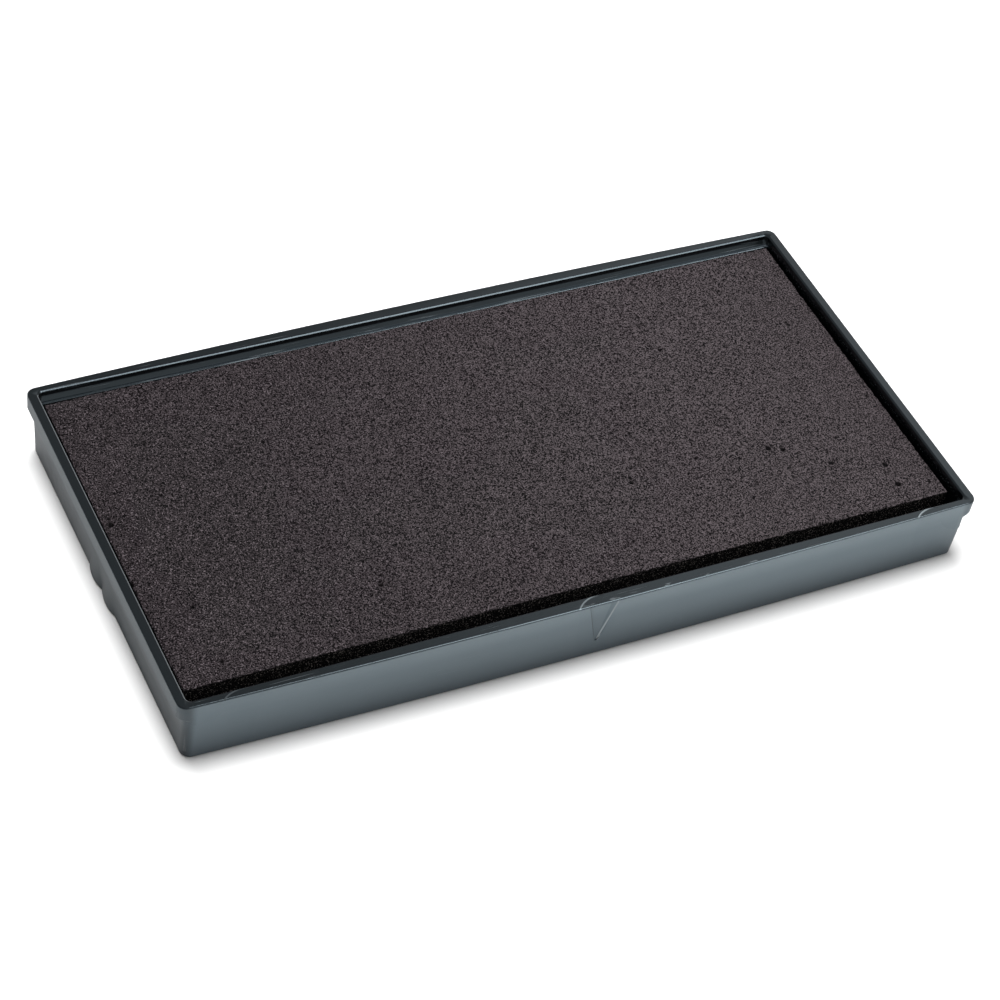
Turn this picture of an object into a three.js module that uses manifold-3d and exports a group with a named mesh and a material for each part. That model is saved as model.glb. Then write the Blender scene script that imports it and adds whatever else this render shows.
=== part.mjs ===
// Replacement ink pad cartridge for a self-inking stamp: a moulded tray that holds a stack of
// adhesive film, reservoir felt and printing foam.
// Millimetres, +Z up. The origin is at the middle of the underside; X runs along the length and
// the long side with the arrow is the front, at -Y.
import * as THREE from "three";
import { mergeVertices } from "three/addons/utils/BufferGeometryUtils.js";
import Module from "manifold-3d";

const wasm = await Module();
wasm.setup();

// Tray, outside.
const trayLength = 79.5; // over the rim flanges
const trayEndDepth = 41.06; // front to back at the two ends of the rim
const sideBow = 0.47; // how far each long side swells out at mid-length
const trayHeight = 7.2;
const rimCornerRadius = 1.1;
const wallCornerRadius = 0.9;
const rimEdgeChamfer = 0.12;
const bottomEdgeChamfer = 0.15;
const sideDraft = 0.42; // each long wall leans in by this much from the rim to the bottom
const endDraft = 0.15; // the same for each end wall, from under the flange to the bottom

// Flange along each end.
const flangeOverhang = 0.58;
const flangeFaceHeight = 1.6;
const flangeBlendHeight = 0.55; // sloped underside, where the flange runs into the wall

// Tray, inside.
const endRimWidth = 0.98;
const sideRimWidth = 0.78; // at the ends of a long side; the bow adds to it
const floorThickness = 1.3;
const cavityCornerRadius = 0.5;
const ledgeDepth = 1.0; // below the rim
const ledgeWidth = 0.66; // along the front and back only

// Snap ribs on each end wall.
const ribCount = 2;
const ribWidth = 3.4;
const ribRise = 0.3; // at the bottom; each rib fades into the wall towards its top
const ribTopGap = 1.45; // from a rib's top to the flange
const ribCentre = 0.6; // of the pair, towards the back
const ribRoot = 0.4; // how far a rib reaches into the wall
const ribSeam = 0.02; // how far the edges of its arch lie under the wall's face

// Arrow that shows which way the cartridge slides in.
const arrowCentre = 0.12;
const arrowWidth = 2.8;
const arrowTipWidth = 0.25;
const arrowTipRise = 2.0; // of the tip above the underside
const arrowDepth = 0.25;

// Pad stack.
const padEndClearance = 0.42; // foam to each end wall
const padBackClearance = 0.25; // foam to the back ledge
const padFrontClearance = 1.4; // foam to the front ledge; the block is laid in against the back
const padCornerRadius = 0.3;
const foamBelowRim = 1.05;
const filmThickness = 0.15;
const feltThickness = 1.8;
const layerGap = 0.05; // between one layer and the next
const filmInset = 0.8; // the film and the felt are cut smaller than the foam
const feltInset = 0.3;

// Facets.
const cornerSegments = 8;
const sideSegments = 16;
const ribSegments = 10;

// Worked out from the sizes above.
const cavityLength = trayLength - 2 * endRimWidth;
const cavityDepth = trayEndDepth - 2 * sideRimWidth;
const pocketDepth = cavityDepth - 2 * ledgeWidth;
const wallHalfLength = trayLength / 2 - flangeOverhang;
const blendTop = trayHeight - flangeFaceHeight;
const blendBottom = blendTop - flangeBlendHeight;
const ribHeight = blendBottom - ribTopGap;
const arrowTop = trayHeight - rimEdgeChamfer;
const arrowHeight = arrowTop - arrowTipRise;

const trayPlastic = new THREE.MeshStandardMaterial({ color: 0x3d4a50, roughness: 0.42, metalness: 0 });
const inkedFoam = new THREE.MeshStandardMaterial({ color: 0x3a3538, roughness: 0.85, metalness: 0 });
const inkedFelt = new THREE.MeshStandardMaterial({ color: 0x17171c, roughness: 0.95, metalness: 0 });
const clearFilm = new THREE.MeshStandardMaterial({ color: 0xd8d6cc, roughness: 0.3, metalness: 0 });

// Half the tray's depth at height z, at the ends of the long walls, which lean in downwards.
function sideWallAt(z) {
  return trayEndDepth / 2 - (sideDraft * (trayHeight - z)) / trayHeight;
}

// Half the tray's length at height z, below the flange.
function endWallAt(z) {
  return wallHalfLength - (endDraft * (blendBottom - z)) / blendBottom;
}

// Arc of a corner, from angle start through a quarter turn.
function cornerArc(x, y, radius, start) {
  return Array.from({ length: cornerSegments + 1 }, (_, i) => {
    const angle = start + (Math.PI / 2) * (i / cornerSegments);
    return new THREE.Vector2(x + radius * Math.cos(angle), y + radius * Math.sin(angle));
  });
}

// Counterclockwise rectangle with round corners, whose long sides swell out by bow at mid-length.
// Its back half is its front half turned half round.
function outline(halfLength, halfDepth, radius, bow = 0) {
  const sideAt = (x) => halfDepth + bow * (1 - (x / halfLength) ** 2);
  const cornerX = halfLength - radius;
  const cornerY = sideAt(cornerX) - radius;
  const half = [];
  for (let i = 1; i < sideSegments; i++) {
    const x = cornerX * ((2 * i) / sideSegments - 1);
    half.push(new THREE.Vector2(x, -sideAt(x)));
  }
  half.push(...cornerArc(cornerX, -cornerY, radius, -Math.PI / 2));
  half.push(...cornerArc(cornerX, cornerY, radius, 0));
  return [...half, ...half.map((point) => point.clone().negate())];
}

// Closed skin over outlines stacked from the bottom up, each with the same number of points.
function loft(levels) {
  const count = levels[0].points.length;
  const positions = levels.flatMap(({ z, points }) => points.flatMap((p) => [p.x, p.y, z]));
  const faces = [];
  for (let level = 0; level + 1 < levels.length; level++) {
    for (let i = 0; i < count; i++) {
      const here = level * count + i;
      const next = level * count + ((i + 1) % count);
      faces.push(here, next, next + count, here, next + count, here + count);
    }
  }
  const last = (levels.length - 1) * count;
  for (const [a, b, c] of THREE.ShapeUtils.triangulateShape(levels[0].points, [])) {
    faces.push(a, c, b);
  }
  for (const [a, b, c] of THREE.ShapeUtils.triangulateShape(levels.at(-1).points, [])) {
    faces.push(last + a, last + b, last + c);
  }
  const skin = new THREE.BufferGeometry();
  skin.setAttribute("position", new THREE.Float32BufferAttribute(positions, 3));
  skin.setIndex(faces);
  return skin;
}

// Flat outline extruded upwards from z.
function slab(points, z, thickness) {
  return new THREE.ExtrudeGeometry(new THREE.Shape(points), {
    depth: thickness,
    bevelEnabled: false,
  }).translate(0, 0, z);
}

function solid(geometry) {
  const bare = geometry.clone();
  bare.deleteAttribute("normal");
  bare.deleteAttribute("uv");
  const merged = mergeVertices(bare, 1e-4);
  return new wasm.Manifold(
    new wasm.Mesh({
      numProp: 3,
      vertProperties: new Float32Array(merged.attributes.position.array),
      triVerts: new Uint32Array(merged.index.array),
    }),
  );
}

function geometryOf(body) {
  const { vertProperties, triVerts } = body.getMesh();
  const geometry = new THREE.BufferGeometry();
  geometry.setAttribute("position", new THREE.BufferAttribute(vertProperties, 3));
  geometry.setIndex(new THREE.BufferAttribute(triVerts, 1));
  geometry.computeVertexNormals();
  return geometry;
}

// Outside of the tray: drafted walls, a flange over each end and softened top and bottom edges.
function trayBody() {
  const wall = (z, inset = 0) => ({
    z,
    points: outline(endWallAt(z) - inset, sideWallAt(z) - inset, wallCornerRadius, sideBow),
  });
  const flange = (z, inset = 0) => ({
    z,
    points: outline(trayLength / 2 - inset, sideWallAt(z) - inset, rimCornerRadius, sideBow),
  });
  return loft([
    wall(0, bottomEdgeChamfer),
    wall(bottomEdgeChamfer),
    wall(blendBottom),
    flange(blendTop),
    flange(trayHeight - rimEdgeChamfer),
    flange(trayHeight, rimEdgeChamfer),
  ]);
}

// Space inside the tray: the pocket for the pad, with a wider opening above the two ledges.
function trayCavity() {
  const level = (z, depth, widening = 0) => ({
    z,
    points: outline(cavityLength / 2 + widening, depth / 2 + widening, cavityCornerRadius),
  });
  const ledgeTop = trayHeight - ledgeDepth;
  return loft([
    level(floorThickness, pocketDepth),
    level(ledgeTop, pocketDepth),
    level(ledgeTop, cavityDepth),
    level(trayHeight - rimEdgeChamfer, cavityDepth),
    level(trayHeight, cavityDepth, rimEdgeChamfer),
    level(trayHeight + 1, cavityDepth, rimEdgeChamfer),
  ]);
}

// Upright rib on the end wall of one side (-1 left, +1 right), centred at y: a low arch at the
// bottom that fades into the wall at its top.
function snapRib(side, y) {
  const section = (z, rise) => {
    const wall = endWallAt(z);
    const points = [new THREE.Vector2(side * (wall - ribRoot), y - (side * ribWidth) / 2)];
    for (let i = 0; i <= ribSegments; i++) {
      const across = (2 * i) / ribSegments - 1;
      const x = side * (wall + rise * (1 - across ** 2) - ribSeam);
      points.push(new THREE.Vector2(x, y + (side * across * ribWidth) / 2));
    }
    points.push(new THREE.Vector2(side * (wall - ribRoot), y + (side * ribWidth) / 2));
    return { z, points };
  };
  return loft([section(bottomEdgeChamfer, ribRise), section(ribHeight, 0)]);
}

// Arrow pointing down, sunk into the front wall at mid-length.
function arrowCut() {
  const front = sideWallAt(trayHeight) + sideBow;
  const arrow = new THREE.Shape([
    new THREE.Vector2(-arrowWidth / 2, 0),
    new THREE.Vector2(-arrowTipWidth / 2, -arrowHeight),
    new THREE.Vector2(arrowTipWidth / 2, -arrowHeight),
    new THREE.Vector2(arrowWidth / 2, 0),
  ]);
  const cut = new THREE.ExtrudeGeometry(arrow, { depth: 1, bevelEnabled: false });
  const lean = Math.atan(sideDraft / trayHeight);
  cut.rotateX(Math.PI / 2 + lean);
  return cut.translate(arrowCentre, -front + arrowDepth, arrowTop);
}

function trayGeometry() {
  let body = solid(trayBody());
  for (const side of [-1, 1]) {
    for (let i = 0; i < ribCount; i++) {
      const y = ribCentre + ribWidth * (i - (ribCount - 1) / 2);
      body = body.add(solid(snapRib(side, y)));
    }
  }
  return geometryOf(body.subtract(solid(trayCavity())).subtract(solid(arrowCut())));
}

// Flat layer of the pad stack, cut smaller than the foam by inset all round.
function padLayer(z, thickness, inset) {
  const halfLength = cavityLength / 2 - padEndClearance - inset;
  const front = -pocketDepth / 2 + padFrontClearance + inset;
  const back = pocketDepth / 2 - padBackClearance - inset;
  const radius = padCornerRadius;
  const layer = slab(outline(halfLength, (back - front) / 2, radius), z, thickness);
  return layer.translate(0, (front + back) / 2, 0);
}

const filmBottom = floorThickness + layerGap;
const feltBottom = filmBottom + filmThickness + layerGap;
const foamBottom = feltBottom + feltThickness + layerGap;
const foamThickness = trayHeight - foamBelowRim - foamBottom;

const group = new THREE.Group();
for (const [name, geometry, material] of [
  ["tray", trayGeometry(), trayPlastic],
  ["adhesive_film", padLayer(filmBottom, filmThickness, filmInset), clearFilm],
  ["reservoir_felt", padLayer(feltBottom, feltThickness, feltInset), inkedFelt],
  ["ink_foam", padLayer(foamBottom, foamThickness, 0), inkedFoam],
]) {
  const mesh = new THREE.Mesh(geometry, material);
  mesh.name = name;
  group.add(mesh);
}

export default group;
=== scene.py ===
"""Replacement ink pad of a self-inking stamp: a moulded tray with an inked foam pad laid in it."""

import math
from itertools import pairwise

import bmesh
import bpy
import numpy as np
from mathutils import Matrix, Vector, noise


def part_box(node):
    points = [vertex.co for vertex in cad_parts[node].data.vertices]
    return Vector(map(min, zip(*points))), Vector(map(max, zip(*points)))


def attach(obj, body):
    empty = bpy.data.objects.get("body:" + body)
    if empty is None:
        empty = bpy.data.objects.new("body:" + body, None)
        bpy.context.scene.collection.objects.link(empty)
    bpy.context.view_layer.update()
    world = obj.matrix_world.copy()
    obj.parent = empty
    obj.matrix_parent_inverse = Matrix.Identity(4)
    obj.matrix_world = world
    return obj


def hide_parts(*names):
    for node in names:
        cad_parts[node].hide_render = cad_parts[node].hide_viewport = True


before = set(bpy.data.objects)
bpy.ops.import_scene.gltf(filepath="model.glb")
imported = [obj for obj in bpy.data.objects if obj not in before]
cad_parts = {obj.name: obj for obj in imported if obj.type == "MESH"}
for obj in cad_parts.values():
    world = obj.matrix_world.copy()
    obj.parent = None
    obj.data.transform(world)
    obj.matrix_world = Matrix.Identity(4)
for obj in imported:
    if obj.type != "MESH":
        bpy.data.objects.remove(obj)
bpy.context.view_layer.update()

# Camera: above the front left corner, looking down on the pad through a long lens.
mm = 0.001
camera = bpy.data.objects.new("camera", bpy.data.cameras.new("camera"))
bpy.context.scene.collection.objects.link(camera)
bpy.context.scene.camera = camera
camera.location = Vector((-102.44, -167.44, 195.05)) * mm
camera.rotation_euler = [math.radians(turn) for turn in (44.782, -6.811, -24.745)]
camera.data.sensor_width = 36
camera.data.lens = 105.12
camera.data.clip_start = 1 * mm


# Tray: one injection moulding in dark blue-grey plastic. Its long walls swell a little at
# mid-length, a flange runs along each end, and the pad drops into the pocket inside.
def open_piece(piece):
    """Put one piece alone in edit mode, with nothing of it selected."""
    bpy.ops.object.select_all(action="DESELECT")
    piece.select_set(True)
    bpy.context.view_layer.objects.active = piece
    bpy.ops.object.mode_set(mode="EDIT")
    bpy.ops.mesh.select_all(action="DESELECT")


def close_piece(piece):
    """Leave edit mode, with the piece's place and size in its mesh."""
    bpy.ops.object.mode_set(mode="OBJECT")
    bpy.ops.object.transform_apply(location=True, rotation=True, scale=True)
    return piece


def pick_faces(piece, test):
    """Select the faces whose middle and normal pass the test."""
    bpy.ops.mesh.select_mode(type="FACE")
    bpy.ops.mesh.select_all(action="DESELECT")
    mesh = bmesh.from_edit_mesh(piece.data)
    for face in mesh.faces:
        face.select_set(test(face.calc_center_median(), face.normal))
    bmesh.update_edit_mesh(piece.data)


def pick_edges(piece, test):
    """Select the edges whose middle, direction and pair of face normals pass the test."""
    bpy.ops.mesh.select_mode(type="EDGE")
    bpy.ops.mesh.select_all(action="DESELECT")
    mesh = bmesh.from_edit_mesh(piece.data)
    for edge in mesh.edges:
        a, b = (vertex.co for vertex in edge.verts)
        normals = [face.normal for face in edge.link_faces]
        edge.select_set(test((a + b) / 2, (b - a).normalized(), normals))
    bmesh.update_edit_mesh(piece.data)


def block(low, high):
    """A box between two corners, in edit mode with all of it selected."""
    bpy.ops.object.select_all(action="DESELECT")
    low, high = Vector(low), Vector(high)
    bpy.ops.mesh.primitive_cube_add(size=1, location=(low + high) / 2, scale=high - low)
    piece = bpy.context.object
    close_piece(piece)
    open_piece(piece)
    return piece


def upright(_, direction, __):
    return abs(direction.z) > 0.9


def climb(levels):
    """Pull the selected faces up through levels of (height, half length, half depth)."""
    for (z, length, depth), (next_z, next_length, next_depth) in pairwise(levels):
        bpy.ops.mesh.extrude_region_move(TRANSFORM_OT_translate={"value": (0, 0, next_z - z)})
        growth = (next_length / length, next_depth / depth, 1)
        bpy.ops.transform.resize(value=growth, center_override=(0, 0, next_z))


def combine(piece, tool, operation):
    """Join, cut or cross one piece with another, which is used up."""
    bpy.ops.object.select_all(action="DESELECT")
    bpy.context.view_layer.objects.active = piece
    change = piece.modifiers.new("change", "BOOLEAN")
    change.operation = operation
    change.solver = "EXACT"
    change.object = tool
    bpy.ops.object.modifier_apply(modifier=change.name)
    bpy.data.objects.remove(tool)


_, tray_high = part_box("tray")
rim_z = tray_high.z
side_bow = 0.47 * mm
rim_half_length = tray_high.x
rim_half_depth = tray_high.y - side_bow
flange_overhang = 0.58 * mm
wall_half_length = rim_half_length - flange_overhang
flange_height = 1.6 * mm
blend_height = 0.55 * mm
flange_bottom = rim_z - flange_height
blend_bottom = flange_bottom - blend_height
side_draft = 0.42 * mm
end_draft = 0.15 * mm
wall_radius = 0.9 * mm
rim_edge = 0.13 * mm
bottom_edge = 0.2 * mm


def side_at(z):
    return rim_half_depth - side_draft * (rim_z - z) / rim_z


def end_at(z):
    return wall_half_length - end_draft * (blend_bottom - z) / blend_bottom


bpy.ops.object.select_all(action="DESELECT")
bpy.ops.mesh.primitive_grid_add(x_subdivisions=48, y_subdivisions=1, size=2)
tray = bpy.context.object
tray.name = "moulded_tray"
open_piece(tray)
bpy.ops.mesh.select_all(action="SELECT")
bpy.ops.transform.resize(value=(end_at(0), side_at(0), 1))
flat = bmesh.from_edit_mesh(tray.data)
for vertex in flat.verts:
    swell = side_bow * (1 - (vertex.co.x / end_at(0)) ** 2)
    vertex.co.y += math.copysign(swell, vertex.co.y)
bmesh.update_edit_mesh(tray.data)
first = blend_bottom / 2
climb([(0, end_at(0), side_at(0)), (first, end_at(first), side_at(first))])
pick_edges(tray, lambda middle, along, _: abs(along.z) > 0.9 and abs(middle.x) > end_at(0) - 1 * mm)
bpy.ops.mesh.bevel(offset=wall_radius, segments=10, affect="EDGES")
pick_faces(tray, lambda middle, normal: normal.z > 0.9)
levels = [(first, end_at(first), side_at(first))]
blend_curve = ((0, 0), (0.12, 0.03), (0.24, 0.12), (0.78, 0.82), (0.9, 0.95), (1.0, 1.0))
for share, out in blend_curve:
    z = blend_bottom + (flange_bottom - blend_bottom) * share
    levels.append((z, wall_half_length + flange_overhang * out, side_at(z)))
levels.append((rim_z, rim_half_length, side_at(rim_z)))
climb(levels)


def turned_edge(side):
    """Edges between a wall and the face that looks up (1) or down (-1)."""

    def test(middle, along, normals):
        tops = [normal.z * side > 0.9 for normal in normals]
        return any(tops) and not all(tops)

    return test


pick_edges(tray, turned_edge(1))
bpy.ops.mesh.bevel(offset=rim_edge, segments=3, profile=0.35, affect="EDGES")
pick_edges(tray, turned_edge(-1))
bpy.ops.mesh.bevel(offset=bottom_edge, segments=4, affect="EDGES")
close_piece(tray)

# Two snap ribs side by side on each end wall: low rounds that fade into the wall as they rise.
rib_width = 3.4 * mm
rib_rise = 0.3 * mm
rib_bottom = 0.03 * mm
rib_top = 3.6 * mm
rib_centre = 0.6 * mm
rib_top_sink = 0.03 * mm
rib_radius = (rib_width**2 / 4 + rib_rise**2) / (2 * rib_rise)
for side in (-1, 1):
    for y in (rib_centre - rib_width / 2, rib_centre + rib_width / 2):
        bpy.ops.object.select_all(action="DESELECT")
        middle_x = side * (end_at(0) + rib_rise - rib_radius)
        bpy.ops.mesh.primitive_cylinder_add(
            vertices=160,
            radius=rib_radius,
            depth=rib_top - rib_bottom,
            location=(middle_x, y, (rib_top + rib_bottom) / 2),
        )
        rib = bpy.context.object
        close_piece(rib)
        open_piece(rib)
        pick_edges(rib, turned_edge(-1))
        bpy.ops.mesh.bevel(offset=bottom_edge, segments=4, affect="EDGES")
        pick_faces(rib, lambda middle, normal: normal.z > 0.9)
        lean = end_at(rib_top) - end_at(0) - rib_rise - rib_top_sink
        bpy.ops.transform.translate(value=(side * lean, 0, 0))
        close_piece(rib)
        combine(tray, rib, "UNION")

# Where the flanges turn the corners their ends run out on the long walls in a round, given by its
# place and radius, which stands upright while the wall leans in.
skirt_half_length = 39.0 * mm
run_outs = ((-37.8 * mm, 2.5 * mm), (39.0 * mm, 3.4 * mm))
skirt = block(
    (-skirt_half_length, -rim_half_depth, rim_z - 4 * mm),
    (skirt_half_length, rim_half_depth, rim_z - 0.4 * mm),
)
pick_edges(skirt, upright)
bpy.ops.mesh.bevel(offset=wall_radius, segments=10, affect="EDGES")
close_piece(skirt)
rounds = []
for x, radius in run_outs:
    bpy.ops.object.select_all(action="DESELECT")
    bpy.ops.mesh.primitive_cylinder_add(
        vertices=96,
        radius=radius,
        depth=2 * tray_high.y,
        location=(x, 0, rim_z),
        rotation=(math.pi / 2, 0, 0),
    )
    rounds.append(bpy.context.object)
for piece in rounds:
    piece.select_set(True)
bpy.context.view_layer.objects.active = rounds[0]
bpy.ops.object.join()
bpy.ops.object.transform_apply(location=True, rotation=True, scale=True)
combine(skirt, bpy.context.object, "INTERSECT")
combine(tray, skirt, "UNION")

# Fine raised arcs that the mould's three round inserts leave on top of the front rim, each given
# by its place, its sweep in degrees and how pale it is painted: part whitening, part painted
# highlight.
witness_radius = 2.6 * mm
witness_y = -22.5 * mm
witness_thickness = 0.07 * mm
witness_sink = 0.03 * mm
witness_start = math.radians(75)
witness_arcs = ((-34.05 * mm, 57, 0.15), (-0.25 * mm, 64, 0.6), (34.9 * mm, 59, 1.0))
for x, degrees, _ in witness_arcs:
    bpy.ops.object.select_all(action="DESELECT")
    bpy.ops.mesh.primitive_circle_add(
        vertices=10,
        radius=witness_thickness,
        fill_type="NGON",
        rotation=(math.pi / 2, 0, witness_start),
        location=(
            x + witness_radius * math.cos(witness_start),
            witness_y + witness_radius * math.sin(witness_start),
            rim_z - witness_sink,
        ),
    )
    arc = bpy.context.object
    bpy.ops.object.transform_apply(location=True, rotation=True, scale=True)
    open_piece(arc)
    bpy.ops.mesh.select_all(action="SELECT")
    bpy.ops.mesh.spin(
        steps=28, angle=-math.radians(degrees), center=(x, witness_y, rim_z), axis=(0, 0, 1)
    )
    bpy.ops.mesh.select_all(action="SELECT")
    bpy.ops.mesh.remove_doubles(threshold=1e-7)
    bpy.ops.mesh.normals_make_consistent(inside=False)
    close_piece(arc)
    combine(tray, arc, "UNION")

# The pocket, with a ledge along each long side, a slope from the ledge up to the wall behind it,
# and the rim's rounded inner edge.
floor_z = 1.3 * mm
ledge_depth = 1.0 * mm
end_rim_width = 0.98 * mm
side_rim_width = 0.78 * mm
ledge_width = 0.66 * mm
ledge_edge = 0.08 * mm
pocket_radius = 0.5 * mm
floor_fillet = 0.25 * mm
inner_edge = 0.17 * mm
inner_edge_curve = ((1, 0), (0.7, 0.08), (0.25, 0.5), (0, 1))
slope_width = 0.3 * mm
slope_height = 0.42 * mm
slope_end_width = 0.05 * mm
slope_end_height = 0.15 * mm
ledge_z = rim_z - ledge_depth
cavity_half_length = rim_half_length - end_rim_width
cavity_half_depth = rim_half_depth - side_rim_width
pocket_half_depth = cavity_half_depth - ledge_width
pocket = block(
    (-cavity_half_length, -pocket_half_depth, floor_z),
    (cavity_half_length, pocket_half_depth, ledge_z),
)
pick_edges(pocket, upright)
bpy.ops.mesh.bevel(offset=pocket_radius, segments=8, affect="EDGES")
pick_edges(pocket, turned_edge(-1))
bpy.ops.mesh.bevel(offset=floor_fillet, segments=3, affect="EDGES")
pick_faces(pocket, lambda middle, normal: normal.z > 0.9)
slope_z = ledge_z + slope_height
levels = [
    (ledge_z, cavity_half_length, pocket_half_depth),
    (ledge_z, cavity_half_length, cavity_half_depth - slope_width),
    (slope_z, cavity_half_length, cavity_half_depth - slope_end_width),
    (slope_z + slope_end_height, cavity_half_length, cavity_half_depth),
]
for down, out in inner_edge_curve:
    length = cavity_half_length + inner_edge * out
    levels.append((rim_z - inner_edge * down, length, cavity_half_depth + inner_edge * out))
levels.append((rim_z + 1 * mm, levels[-1][1], levels[-1][2]))
climb(levels)
pick_edges(
    pocket,
    lambda middle, along, _: abs(along.x) > 0.9
    and abs(middle.z - ledge_z) < 1e-6
    and abs(abs(middle.y) - pocket_half_depth) < 1e-6,
)
bpy.ops.mesh.bevel(offset=ledge_edge, segments=3, affect="EDGES")
close_piece(pocket)
combine(tray, pocket, "DIFFERENCE")

# The arrow on the front wall that shows which way the pad slides in. It is sunk less deep at its
# tip, with an upright left side and a right side that slopes, more so towards the top.
arrow_x = 0.12 * mm
arrow_half_width = 1.4 * mm
arrow_tip_half_width = 0.12 * mm
arrow_tip_z = 2.0 * mm
arrow_depth = 0.25 * mm
arrow_slope = 0.5 * mm
arrow_tip_depth = 0.12 * mm
arrow_top_z = rim_z - rim_edge
front_y = -tray_high.y
arrow = block(
    (arrow_x - arrow_half_width, front_y - arrow_depth, arrow_tip_z),
    (arrow_x + arrow_half_width, front_y + arrow_depth, arrow_top_z),
)
pick_faces(arrow, lambda middle, normal: normal.z < -0.9)
bpy.ops.transform.resize(
    value=(arrow_tip_half_width / arrow_half_width, 1, 1),
    center_override=(arrow_x, 0, 0),
)
tip_lean = side_draft * (rim_z - arrow_tip_z) / rim_z
bpy.ops.transform.translate(value=(0, tip_lean + arrow_tip_depth - arrow_depth, 0))
flat = bmesh.from_edit_mesh(arrow.data)
for corner in flat.verts:
    if corner.co.x > arrow_x and corner.co.z > arrow_top_z - 1 * mm:
        corner.co.x += math.copysign(arrow_slope, front_y - corner.co.y)
bmesh.update_edit_mesh(arrow.data)
close_piece(arrow)
combine(tray, arrow, "DIFFERENCE")

# The gate's round recess in the middle of the underside, with the snapped-off stub in it.
gate_depth = 0.25 * mm
gate_radius = 1.6 * mm
stub_radius = 0.45 * mm
stub_bottom = 0.08 * mm
for radius, low, high, operation in (
    (gate_radius, -gate_depth, gate_depth, "DIFFERENCE"),
    (stub_radius, stub_bottom, gate_depth + 0.3 * mm, "UNION"),
):
    bpy.ops.object.select_all(action="DESELECT")
    bpy.ops.mesh.primitive_cylinder_add(
        vertices=48, radius=radius, depth=high - low, location=(0, 0, (low + high) / 2)
    )
    gate = close_piece(bpy.context.object)
    combine(tray, gate, operation)

open_piece(tray)
bpy.ops.mesh.select_all(action="SELECT")
bpy.ops.mesh.remove_doubles(threshold=1e-7)
bpy.ops.mesh.dissolve_degenerate(threshold=1e-7)
close_piece(tray)
bpy.ops.object.shade_smooth_by_angle(angle=math.radians(24))


class Signal:
    """A number or a colour on its way through a finish; arithmetic on it adds Math nodes."""

    def __init__(self, finish, socket):
        self.finish = finish
        self.socket = socket

    def math(self, operation, *values):
        sockets = dict(enumerate(values))
        return self.finish.node("Math", {"operation": operation}, sockets)

    def __add__(self, other):
        return self.math("ADD", self, other)

    def __sub__(self, other):
        return self.math("SUBTRACT", self, other)

    def __rsub__(self, other):
        return self.math("SUBTRACT", other, self)

    def __mul__(self, other):
        return self.math("MULTIPLY", self, other)

    def __pow__(self, other):
        return self.math("POWER", self, other)

    __radd__ = __add__
    __rmul__ = __mul__

    def __abs__(self):
        return self.math("ABSOLUTE", self)

    def most(self, other):
        return self.math("MAXIMUM", self, other)

    def above(self, start, end):
        """0 below start, 1 above end, and smooth between; end below start turns it round."""
        if end < start:
            return 1 - self.above(end, start)
        sockets = {"Value": self, "From Min": start, "From Max": end}
        return self.finish.node("MapRange", {"interpolation_type": "SMOOTHSTEP"}, sockets)


class Finish:
    """One node tree, built a node at a time."""

    def __init__(self, owner):
        owner.use_nodes = True
        self.owner = owner
        self.tree = owner.node_tree
        self.tree.nodes.clear()

    def node(self, kind, settings=None, sockets=None, output=0):
        made = self.tree.nodes.new("ShaderNode" + kind)
        for name, value in (settings or {}).items():
            setattr(made, name, value)
        for name, value in (sockets or {}).items():
            if isinstance(value, Signal):
                self.tree.links.new(value.socket, made.inputs[name])
            elif isinstance(value, (tuple, Vector)) and made.inputs[name].type == "RGBA":
                made.inputs[name].default_value = (*value, 1)
            else:
                made.inputs[name].default_value = value
        return Signal(self, made.outputs[output]) if len(made.outputs) else None

    def mix(self, share, one, other):
        """One colour turning into the other as share goes from 0 to 1."""
        return self.node("Mix", {"data_type": "RGBA"}, {0: share, 6: one, 7: other}, output=2)

    def place(self, stretch=(1, 1, 1)):
        """Object coordinates in millimetres, divided by stretch along each axis."""
        point = self.node("TexCoord", output="Object")
        scale = Vector((1000 / stretch[0], 1000 / stretch[1], 1000 / stretch[2]))
        return self.node("VectorMath", {"operation": "MULTIPLY"}, {0: point, 1: scale})

    def axes(self, point):
        return [self.node("SeparateXYZ", None, {0: point}, output=axis) for axis in "XYZ"]

    def grain(self, size, point=None, detail=2, roughness=0.5, seed=0):
        """Noise about 0.5 whose lumps are size millimetres across."""
        sockets = {
            "Vector": point or self.place(),
            "W": seed,
            "Scale": 1 / size,
            "Detail": detail,
            "Roughness": roughness,
        }
        return self.node("TexNoise", {"noise_dimensions": "4D"}, sockets)

    def bump(self, height, distance, strength):
        """Relief up to distance millimetres deep."""
        sockets = {"Height": height, "Distance": distance * mm, "Strength": strength}
        return self.node("Bump", None, sockets)

    def surface(self, sockets):
        shader = self.node("BsdfPrincipled", None, sockets)
        self.node("OutputMaterial", None, {"Surface": shader})
        return self.owner


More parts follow.
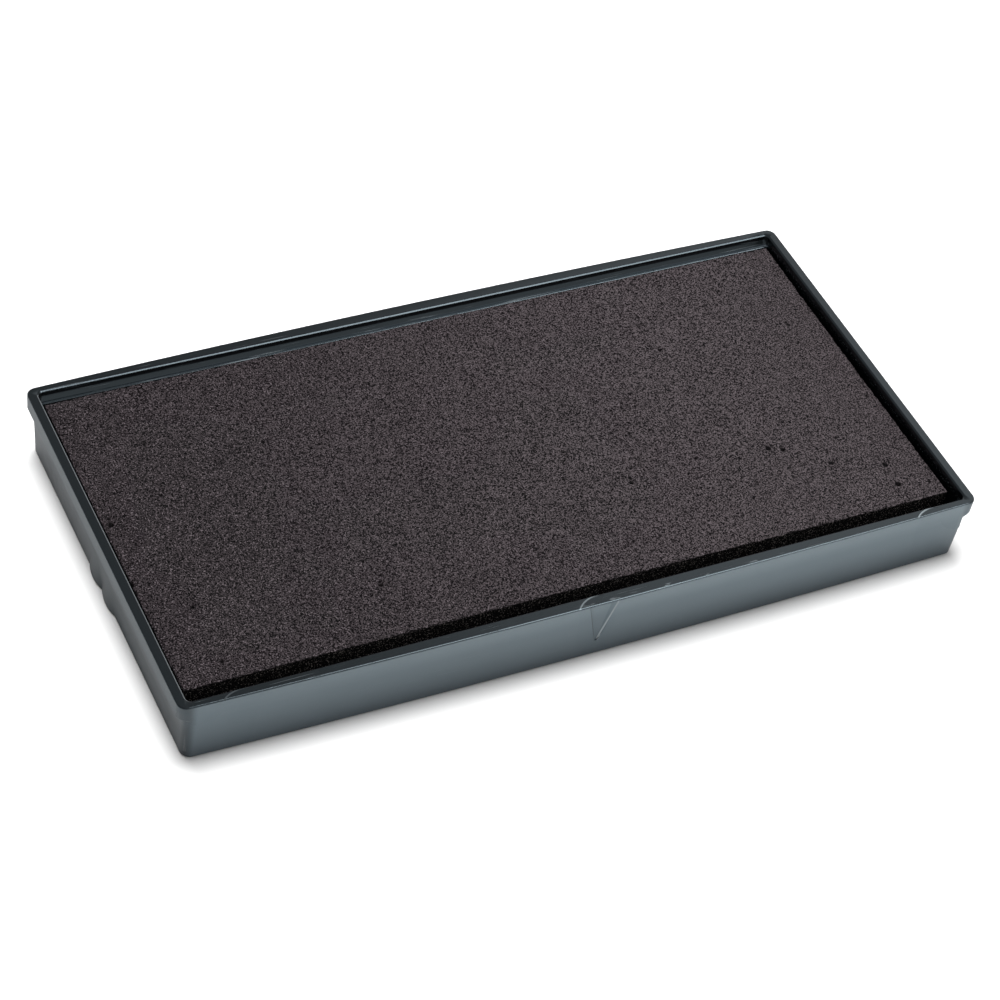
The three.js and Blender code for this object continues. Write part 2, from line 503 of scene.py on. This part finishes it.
def dark_plastic():
    """Blue-grey styrene: satin outside from an etched mould, polished on the rim and inside."""
    finish = Finish(bpy.data.materials.new("dark_plastic"))
    whitening_and_sheen = (0.16, 0.18, 0.19)
    x, y, z = finish.axes(finish.place())
    past_end = abs(x).above(38.85, 38.95)
    past_side = abs(y).above(19.9, 20.0)
    underneath = z.above(0.9, 0.8)
    below_rim = z.above(7.15, 7.02)
    outside = past_end.most(past_side).most(underneath) * below_rim
    on_front = y.above(-19.6, -19.8)
    cloud = finish.grain(9, detail=3)
    fine = finish.grain(0.12, detail=2, seed=3)
    polished = finish.mix(cloud, (0.0006, 0.0009, 0.0011), (0.0012, 0.0017, 0.0021))
    ends = abs(x).above(38.0, 38.9)
    # Painted shade: the satin outside is darker low down and paler towards the rim, in place of the
    # shadowed table that the walls reflect.
    low_satin_painted_shade = finish.mix(cloud, (0.032, 0.042, 0.049), (0.038, 0.049, 0.057))
    high_satin_painted_light = finish.mix(cloud, (0.057, 0.075, 0.086), (0.065, 0.085, 0.097))
    satin = finish.mix(z.above(0.0, 6.5), low_satin_painted_shade, high_satin_painted_light)
    # Painted highlight: a pale band along the top of the outside walls, stronger towards the right.
    satin = finish.mix(z.above(4.8, 6.9) * x.above(-60, 20) * 0.45, satin, (0.15, 0.185, 0.2))
    # Painted shade: the end walls are darkened, more so low down.
    satin = finish.mix(ends * (0.72 + z.above(5.0, 3.0) * 0.2), satin, (0.0, 0.0, 0.0))
    # Painted light: the outside is paler towards the right, rising from the bottom.
    satin = finish.mix(x.above(-25, 45) * z.above(0, 5) * 0.35, satin, (0.115, 0.152, 0.172))
    # Painted light: the ledges are paler than the rest of the polished inside, more so towards the
    # right.
    on_ledge = abs(y).above(19.0, 19.1) * z.above(6.3, 6.25)
    polished = finish.mix(on_ledge * x.above(-60, 20), polished, (0.009, 0.012, 0.0145))
    colour = finish.mix(outside, polished, satin)

    # Pale lines where the mould's inserts met, part whitening and part painted highlight that is
    # brightest on the right: an arc each, and a smoother rim inside it.
    arcs = 0
    inside_arcs = 0
    for place, _, whitening_and_highlight in witness_arcs:
        from_middle = x - place / mm
        radius = (from_middle**2 + (y - witness_y / mm) ** 2) ** 0.5
        line = abs(radius - witness_radius / mm)
        arcs = line.above(0.11, 0.03) * from_middle.above(0.6, -0.9) * whitening_and_highlight + arcs
        inside_arcs = radius.above(2.6, 2.4) + inside_arcs
    on_top = z.above(7.08, 7.18) * on_front
    colour = finish.mix(arcs * on_top * 0.9, colour, (0.14, 0.16, 0.17))

    # Painted highlight along the arrow's right edge, and painted shade down its left one.
    tip = arrow_tip_half_width / mm
    growth = (arrow_half_width - arrow_tip_half_width) / (arrow_top_z - arrow_tip_z)
    half_width = (z - arrow_tip_z / mm) * growth + tip
    from_arrow = x - arrow_x / mm
    right_edge = abs(from_arrow - half_width).above(0.1, 0.03)
    left_edge = abs(from_arrow + half_width).above(0.09, 0.02)
    on_arrow = z.above(1.9, 2.2) * z.above(7.12, 7.05) * on_front
    colour = finish.mix(right_edge * on_arrow, colour, (0.2, 0.22, 0.23))
    # Painted shade: a dark line down the arrow's left side, fading out towards the tip.
    arrow_shade = left_edge * on_arrow * z.above(2.1, 3.2)
    colour = finish.mix(arrow_shade * 0.85, colour, (0.006, 0.008, 0.01))

    # Nicks along the front rim's outer edge, and long fine streaks of wear, strongest on the
    # ledges, where the extra pale streaks are painted highlight.
    edge_line = z.above(7.03, 7.1) * y.above(-20.5, -20.7) * x.above(-8, 6)
    nicks = finish.grain(0.35, finish.place((4, 1, 1)), detail=3, seed=9).above(0.58, 0.66)
    colour = finish.mix(nicks * edge_line * 0.35, colour, whitening_and_sheen)
    wipe_marks_and_sheen = finish.grain(0.8, finish.place((8, 0.16, 0.16)), detail=3, seed=5)
    scuffs = wipe_marks_and_sheen.above(0.65, 0.7) * (1 - ends)
    at_ledge = z.above(6.1, 6.15) * z.above(6.7, 6.6) * (1 - past_side)
    colour = finish.mix(scuffs * 0.1, colour, whitening_and_sheen)
    # Painted highlight: pale dashed streaks along the ledges and the slope up from them.
    colour = finish.mix(wipe_marks_and_sheen.above(0.6, 0.66) * at_ledge * 0.3, colour, whitening_and_sheen)
    roughness = 0.15 + outside * (0.25 + ends * 0.1) + cloud * 0.05 + fine * 0.05
    roughness = roughness + scuffs * 0.1 + inside_arcs * 0.02
    height = fine * 0.5 + finish.grain(1.6, seed=8) * 1.4 - scuffs * 0.4
    return finish.surface({
        "Base Color": colour,
        "Roughness": roughness,
        "IOR": 1.5,
        "Specular Tint": (0.74, 0.9, 1.0),
        "Normal": finish.bump(height, 0.012, 0.6),
    })


tray.data.materials.append(dark_plastic())
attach(tray, "root")
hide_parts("tray")

# Ink foam: a block of open-cell foam, cut from sheet and soaked in black ink. It is laid in
# towards the back wall, where it swells out to the ledge, and lies on the felt.
foam_low, foam_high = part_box("ink_foam")
cell = 0.21 * mm
foam_size = foam_high - foam_low
foam_middle = (foam_high + foam_low) / 2
rows = round(foam_size.z / cell)
bpy.ops.object.select_all(action="DESELECT")
bpy.ops.mesh.primitive_grid_add(
    x_subdivisions=round(foam_size.x / cell),
    y_subdivisions=round(foam_size.y / cell),
    size=1,
    location=(foam_middle.x, foam_middle.y, foam_high.z),
)
foam = bpy.context.object
foam.name = "foam_pad"
foam.scale = (foam_size.x, foam_size.y, 1)
bpy.ops.object.transform_apply(location=True, rotation=True, scale=True)
open_piece(foam)
bpy.ops.mesh.select_all(action="SELECT")
bpy.ops.mesh.region_to_loop()
for row in range(rows):
    drop = {"value": (0, 0, -foam_size.z / rows)}
    bpy.ops.mesh.extrude_region_move(TRANSFORM_OT_translate=drop)
bpy.ops.mesh.edge_face_add()
bpy.ops.mesh.select_all(action="SELECT")
bpy.ops.mesh.normals_make_consistent(inside=False)
close_piece(foam)

points = np.empty(len(foam.data.vertices) * 3)
foam.data.vertices.foreach_get("co", points)
points = points.reshape(-1, 3)
rest = points.copy()
to_side = foam_size.y / 2 - np.abs(rest[:, 1] - foam_middle.y)
to_end = foam_size.x / 2 - np.abs(rest[:, 0] - foam_middle.x)
to_edge = np.minimum(to_side, to_end)
on_top = rest[:, 2] > foam_high.z - 1e-6
high_up = np.clip((rest[:, 2] - foam_low.z) / foam_size.z, 0, 1)
along = rest[:, 0] / foam_high.x
across = (rest[:, 1] - foam_middle.y) / (foam_size.y / 2)


def ripple(size, amount, shift):
    """Smooth noise at every point, for lumps size across."""
    return amount * np.array([noise.noise(Vector(point) / size + shift) for point in rest])


# The top is slightly crowned, the back edge and the right back corner swell outwards, and the cut
# edges are ragged and a little crumbled along the top.
crown_rise = 0.12 * mm
back_swell = 0.22 * mm
corner_swell = 0.18 * mm
cut_loss = 0.04 * mm
crumb_width = 0.25 * mm
crumb_depth = 0.05 * mm
crown = (1 - np.abs(along) ** 4) * (0.4 + 0.6 * (across + 1) / 2)
points[:, 2] += high_up * (crown_rise * crown + ripple(6 * mm, 0.05 * mm, Vector((3, 1, 4))))
back = np.clip(across, 0, 1) ** 8
points[:, 1] += back * high_up * back_swell
corner = np.clip(along, 0, 1) ** 12 * np.clip(across, 0, 1) ** 2
points[:, 0] += corner_swell * corner * high_up
skin = ~on_top | (to_edge < 1e-6)
ragged = ripple(0.9 * mm, 0.02 * mm, Vector((9, 2, 6)))
ragged += ripple(0.3 * mm, 0.07 * mm, Vector((5, 5, 1)))
outwards_x = np.where(to_end < 1e-6, np.sign(rest[:, 0]), 0)
outwards_y = np.where(to_side < 1e-6, np.sign(rest[:, 1] - foam_middle.y), 0)
points[skin, 0] += (outwards_x * (ragged - cut_loss))[skin]
points[skin, 1] += (outwards_y * (ragged - cut_loss))[skin]
crumb = np.clip(1 - to_edge / crumb_width, 0, 1) * on_top
points[:, 2] -= crumb * (crumb_depth + np.abs(ragged))

# Pores in three sizes, each size given by its count, least and greatest radius and depth.
random = np.random.default_rng(11)
deepest = 0.5 * mm
grit = 0.012 * mm
top = np.flatnonzero(on_top)
plan = rest[top, :2]
sink = np.zeros(len(top))
pores = ((2600, 0.10, 0.19, 0.11), (220, 0.15, 0.24, 0.26), (16, 0.2, 0.32, 0.5))
for count, least, most, deep in pores:
    for _ in range(count):
        place = random.uniform((foam_low.x, foam_low.y), (foam_high.x, foam_high.y))
        radius = random.uniform(least, most) * mm
        near = np.flatnonzero(np.abs(plan[:, 0] - place[0]) < 3 * radius)
        distance = np.hypot(*(plan[near] - place).T)
        sink[near] += deep * mm * np.exp(-((distance / radius) ** 2))
points[top, 2] -= np.minimum(sink, deepest)
points[top, 2] += random.normal(0, grit, len(top))
foam.data.vertices.foreach_set("co", points.ravel())
foam.data.update()
bpy.ops.object.select_all(action="DESELECT")
foam.select_set(True)
bpy.context.view_layer.objects.active = foam
bpy.ops.object.shade_smooth_by_angle(angle=math.radians(60))


def inked_foam():
    """Black ink in open-cell foam: a warm grey bloom on the cell walls, near-black painted shade in
    the pores and on the cut sides, painted glints, and painted light towards the right.
    """
    finish = Finish(bpy.data.materials.new("inked_foam"))
    x, y, z = finish.axes(finish.place())
    cells = finish.grain(0.14, detail=2, roughness=0.6)
    glint_specks = finish.grain(0.13, detail=1, seed=4)
    close = {"Vector": finish.place(), "Scale": 2.6, "Randomness": 1.0}
    holes = finish.node("TexVoronoi", {"feature": "F1"}, close).above(0.26, 0.14)
    wide = {"Vector": finish.place(), "Scale": 0.95, "Randomness": 1.0}
    chosen = finish.node("TexVoronoi", {"feature": "F1"}, wide, output="Color").above(0.55, 0.6)
    pits = finish.node("TexVoronoi", {"feature": "F1"}, wide).above(0.15, 0.09) * chosen
    pores = holes.most(pits)
    patches = finish.grain(7, detail=4, roughness=0.6, seed=2)
    # Dry patches at random, and painted light making the foam paler towards the right.
    dryness_and_light = patches * 0.5 + x.above(-45, 45) * 0.9
    lit = cells.above(0.43, 0.6)
    dark = finish.mix(dryness_and_light, (0.0006, 0.0005, 0.0006), (0.0018, 0.0015, 0.0017))
    light = finish.mix(dryness_and_light, (0.015, 0.0122, 0.0135), (0.043, 0.036, 0.0386))
    colour = finish.mix(lit, dark, light)
    # Painted glints: fine pale specks over the wet ink.
    colour = finish.mix(glint_specks.above(0.59, 0.67) * 0.8, colour, (0.07, 0.059, 0.064))
    on_side = z.above(foam_high.z / mm - 0.1, foam_high.z / mm - 0.25)
    on_front = y.above(-17.2, -17.5)
    glints = on_side * on_front * glint_specks.above(0.57, 0.65)
    # Painted shade: the foam below its top edge is near black, as in the dark gap by the walls,
    # with painted glints on the front face.
    colour = finish.mix(on_side * 0.93, colour, (0.0006, 0.0005, 0.0006))
    colour = finish.mix(glints * 0.9, colour, (0.2, 0.18, 0.165))
    # Painted shade: the pores are near black.
    colour = finish.mix(pores * 0.95, colour, (0.0006, 0.0005, 0.0006))
    height = cells + glint_specks * 0.5 - pores * 1.2
    return finish.surface({
        "Base Color": colour,
        "Roughness": 0.8 - lit * 0.1,
        "IOR": 1.4,
        "Specular IOR Level": 0.12,
        "Normal": finish.bump(height, 0.08, 1.0),
    })


foam.data.materials.append(inked_foam())
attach(foam, "root")
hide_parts("ink_foam")

# Reservoir felt: a denser layer of matted fibre under the foam, cut from sheet a little smaller
# than the foam. It stores the ink and lies on the adhesive film.
felt_low, felt_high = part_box("reservoir_felt")
felt = block(felt_low, felt_high)
felt.name = "felt_reservoir"
pick_edges(felt, lambda middle, along, normals: True)
bpy.ops.mesh.bevel(offset=0.2 * mm, segments=3, affect="EDGES")
bpy.ops.mesh.select_all(action="SELECT")
bpy.ops.mesh.subdivide(number_cuts=12)
bpy.ops.transform.vertex_random(offset=0.03 * mm, seed=3)
close_piece(felt)
bpy.ops.object.shade_smooth_by_angle(angle=math.radians(60))


def inked_felt():
    """Matted fibres soaked in black ink."""
    finish = Finish(bpy.data.materials.new("inked_felt"))
    one_way = finish.grain(0.2, finish.place((5, 1, 1)), detail=3)
    other_way = finish.grain(0.2, finish.place((1, 5, 1)), detail=3, seed=6)
    fibres = one_way * 0.5 + other_way * 0.5
    colour = finish.mix(fibres.above(0.4, 0.65), (0.004, 0.004, 0.005), (0.02, 0.019, 0.022))
    return finish.surface({
        "Base Color": colour,
        "Roughness": 0.9,
        "Normal": finish.bump(fibres, 0.08, 0.9),
    })


felt.data.materials.append(inked_felt())
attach(felt, "root")
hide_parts("reservoir_felt")


# Adhesive film: a thin clear sheet, sticky on both sides and cut smaller than the felt, that holds
# the pad stack to the tray's floor.
def clear_film():
    """Clear film with a milky, slightly wrinkled layer of adhesive."""
    finish = Finish(bpy.data.materials.new("clear_film"))
    milky = finish.grain(3, detail=4)
    colour = finish.mix(milky, (0.55, 0.54, 0.5), (0.72, 0.71, 0.66))
    return finish.surface({
        "Base Color": colour,
        "Roughness": 0.25 + milky * 0.2,
        "Normal": finish.bump(finish.grain(1.5, detail=3), 0.05, 0.5),
    })


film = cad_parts["adhesive_film"]
film.data.materials.clear()
film.data.materials.append(clear_film())

# Floor and light: a pale table under a softbox that is kept out of reflections. The strip and the
# low panel light nothing but show in reflections, as thin lines along the rim, and the pale room
# is brighter low down on the right and at its window.
bpy.ops.object.select_all(action="DESELECT")
bpy.ops.mesh.primitive_plane_add(size=6, location=(0, 0, 0))
floor = bpy.context.object
floor.name = "floor"
finish = Finish(bpy.data.materials.new("pale_table"))
floor.data.materials.append(finish.surface({"Base Color": (0.56, 0.56, 0.56), "Roughness": 0.9}))

for name, place, size, power in (
    ("softbox", (-0.01, 0.16, 0.95), (0.5, 0.5), 25),
    ("edge_strip", (0.38, -0.5, 0.75), (0.25, 0.8), 7),
    ("low_panel", (0.675, 0.54, 0.15), (0.5, 0.3), 0.6),
):
    lamp = bpy.data.objects.new(name, bpy.data.lights.new(name, "AREA"))
    bpy.context.scene.collection.objects.link(lamp)
    lamp.location = place
    lamp.data.shape = "RECTANGLE"
    lamp.data.size, lamp.data.size_y = size
    lamp.data.energy = power
    lamp.rotation_euler = (-lamp.location).to_track_quat("-Z", "Y").to_euler()
    lamp.visible_glossy = name != "softbox"
    lamp.visible_diffuse = name == "softbox"

world = bpy.data.worlds.new("room")
bpy.context.scene.world = world
finish = Finish(world)
direction = finish.node("TexCoord", output="Generated")
across_room, depth, height = finish.axes(direction)
window = finish.node(
    "VectorMath", {"operation": "DOT_PRODUCT"}, {0: direction, 1: (0.5, 0.5, 0.7)}, output="Value"
)
low = height.above(0.4, 0.05)
right = across_room.above(-0.8, 0.3)
front = depth.above(0.2, -0.5)
back_right = across_room.above(0.3, 0.8) * depth.above(0.2, 0.5)
glow = 0.42 + low * (right * 0.4 + back_right * 0.8) + front * right * 0.3
glow = glow + window.above(0.968, 0.995) * 1.2
background = finish.node("Background", None, {"Color": (1.0, 1.0, 1.0), "Strength": glow})
finish.node("OutputWorld", None, {"Surface": background})

bpy.context.scene.view_settings.view_transform = "Standard"
